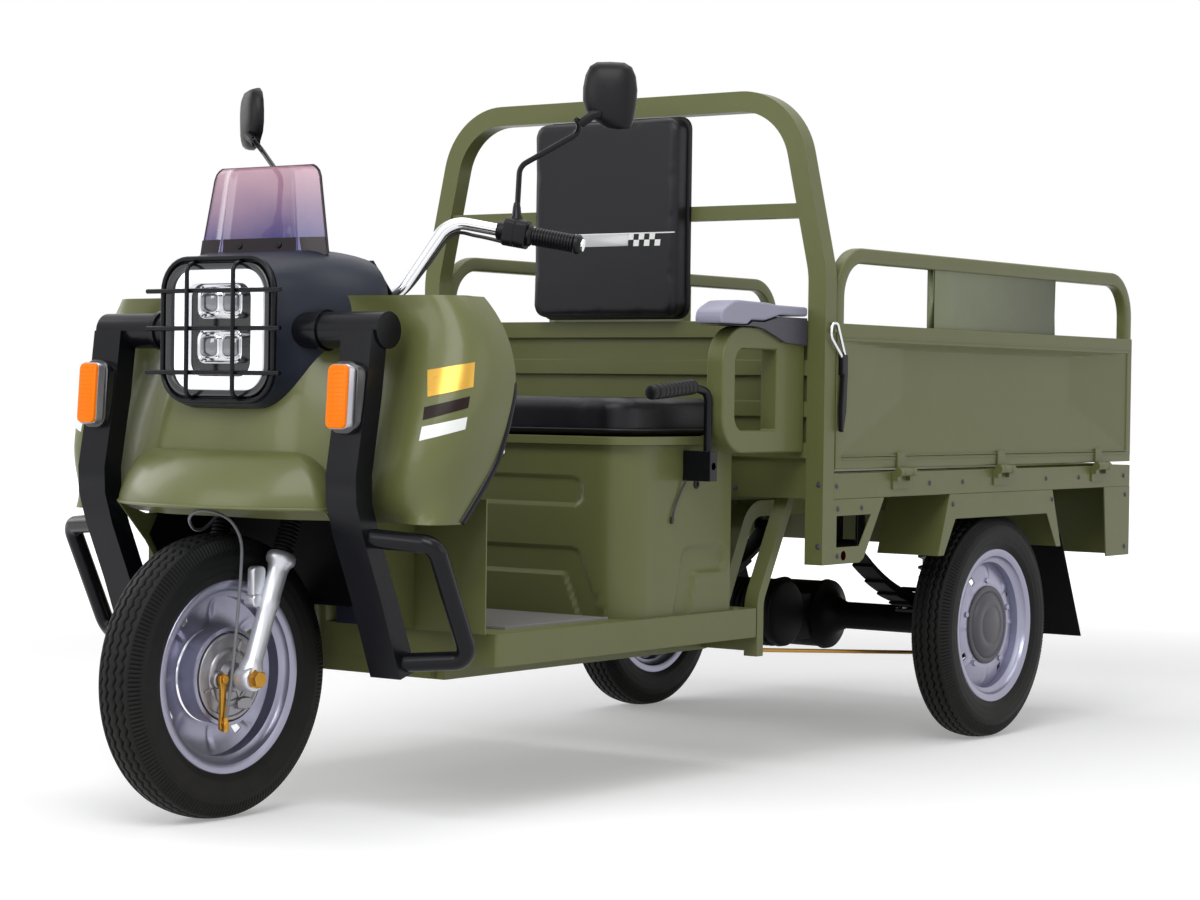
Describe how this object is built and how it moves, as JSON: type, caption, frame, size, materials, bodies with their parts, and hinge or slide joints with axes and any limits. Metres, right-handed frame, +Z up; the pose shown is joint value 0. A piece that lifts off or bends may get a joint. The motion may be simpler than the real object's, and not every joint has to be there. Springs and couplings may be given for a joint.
{
  "type": "electric cargo tricycle",
  "caption": "Three-wheeled electric cargo vehicle with a steered front wheel, open footboard, bench seat, roll hoop and a drop-side load bed over the rear axle.",
  "frame": {"origin": "on the floor, midway along and across the vehicle", "axes": "+X to the vehicle's left, +Y to its rear, +Z up"},
  "size_m": [1.051, 2.7694, 1.3279],
  "materials": {
    "green_paint": "satin olive paint",
    "dark_plastic": "satin blue-black moulded plastic",
    "black_paint": "gloss black paint",
    "black_plastic": "matte moulded plastic",
    "padding": "black coated fabric over foam",
    "arm_pad": "two tone moulded plastic",
    "tyre_rubber": "ribbed tread",
    "wheel_silver": "silver paint",
    "hub_cap_grey": "dark grey moulded cap",
    "cast_alloy": "polished and cast alloy",
    "chrome": "bright plated steel",
    "zinc_rod": "yellow zinc plate",
    "amber_lens": "clear amber lens",
    "red_lens": "clear red lens",
    "lamp_glass": "clear lens over a black bezel",
    "smoked_screen": "violet smoked screen",
    "cable_black": "black cable sheath",
    "lever_black": "black hand grip"
  },
  "bodies": {
    "chassis": {"armrest_frames": "green_paint", "armrest_pads": "arm_pad", "backrest": "padding", "battery_pack": "black_plastic", "bed_floor": "green_paint", "bed_frame": "green_paint", "drive_motor": "black_paint", "fixed_hinges": "green_paint", "footboard": "green_paint", "front_crash_bar": "black_paint", "front_hood": "green_paint", "headboard": "green_paint", "headlamp": "lamp_glass", "headlamp_cowl": "dark_plastic", "hoop": "green_paint", "inner_shield": "dark_plastic", "instrument_panel": "dark_plastic", "lamp_guard": "black_paint", "leaf_springs": "black_paint", "leg_shield": "green_paint", "lower_shields": "green_paint", "main_frame": "green_paint", "mud_flaps": "black_plastic", "parking_brake_lever": "lever_black", "rear_axle": "black_paint", "rear_brake_linkage": "zinc_rod", "rear_fenders": "green_paint", "rear_valance": "green_paint", "seat_box": "green_paint", "shock_absorbers": "cast_alloy", "side_skirts": "green_paint", "tail_lamps": "red_lens", "turn_lamps": "amber_lens", "wheel_well": "black_plastic", "windscreen": "smoked_screen"},
    "steering": {"steering_column": "cast_alloy", "fork_legs": "cast_alloy", "front_axle": "chrome", "front_brake_plate": "cast_alloy", "front_brake_cable": "cable_black", "handlebar": "chrome", "grips_and_switches": "black_plastic", "mirrors": "black_plastic"},
    "front_wheel": {"front_tyre": "tyre_rubber", "front_rim": "wheel_silver"},
    "rear_left_wheel": {"rear_left_tyre": "tyre_rubber", "rear_left_rim": "wheel_silver", "rear_left_hub_cap": "hub_cap_grey"},
    "rear_right_wheel": {"rear_right_tyre": "tyre_rubber", "rear_right_rim": "wheel_silver", "rear_right_hub_cap": "hub_cap_grey"},
    "left_gate": {"left_side_gate": "green_paint", "left_gate_latches": "chrome"},
    "right_gate": {"right_side_gate": "green_paint", "right_gate_latches": "chrome"},
    "rear_gate": {"tailgate": "green_paint"},
    "seat": {"seat_pan": "green_paint", "seat_cushion": "padding"}
  },
  "joints": [
    {"name": "steering", "type": "hinge", "parent": "chassis", "child": "steering", "pos_m": [0, -1.10225, 0.22912], "axis": [0, 0.3616, 0.9323], "range_deg": [-38, 38]},
    {"name": "front_wheel_spin", "type": "hinge", "parent": "steering", "child": "front_wheel", "pos_m": [0, -1.13675, 0.2425], "axis": [1, 0, 0], "continuous": true},
    {"name": "rear_left_wheel_spin", "type": "hinge", "parent": "chassis", "child": "rear_left_wheel", "pos_m": [0.445, 0.75325, 0.2425], "axis": [1, 0, 0], "continuous": true},
    {"name": "rear_right_wheel_spin", "type": "hinge", "parent": "chassis", "child": "rear_right_wheel", "pos_m": [-0.445, 0.75325, 0.2425], "axis": [1, 0, 0], "continuous": true},
    {"name": "left_gate_hinge", "type": "hinge", "parent": "chassis", "child": "left_gate", "pos_m": [0.5165, 0, 0.581], "axis": [0, 1, 0], "range_deg": [0, 172]},
    {"name": "right_gate_hinge", "type": "hinge", "parent": "chassis", "child": "right_gate", "pos_m": [-0.5165, 0, 0.581], "axis": [0, -1, 0], "range_deg": [0, 172]},
    {"name": "tailgate_hinge", "type": "hinge", "parent": "chassis", "child": "rear_gate", "pos_m": [0, 1.38125, 0.581], "axis": [-1, 0, 0], "range_deg": [0, 172]},
    {"name": "seat_hinge", "type": "hinge", "parent": "chassis", "child": "seat", "pos_m": [0, -0.12875, 0.634], "axis": [-1, 0, 0], "range_deg": [0, 72]}
  ]
}
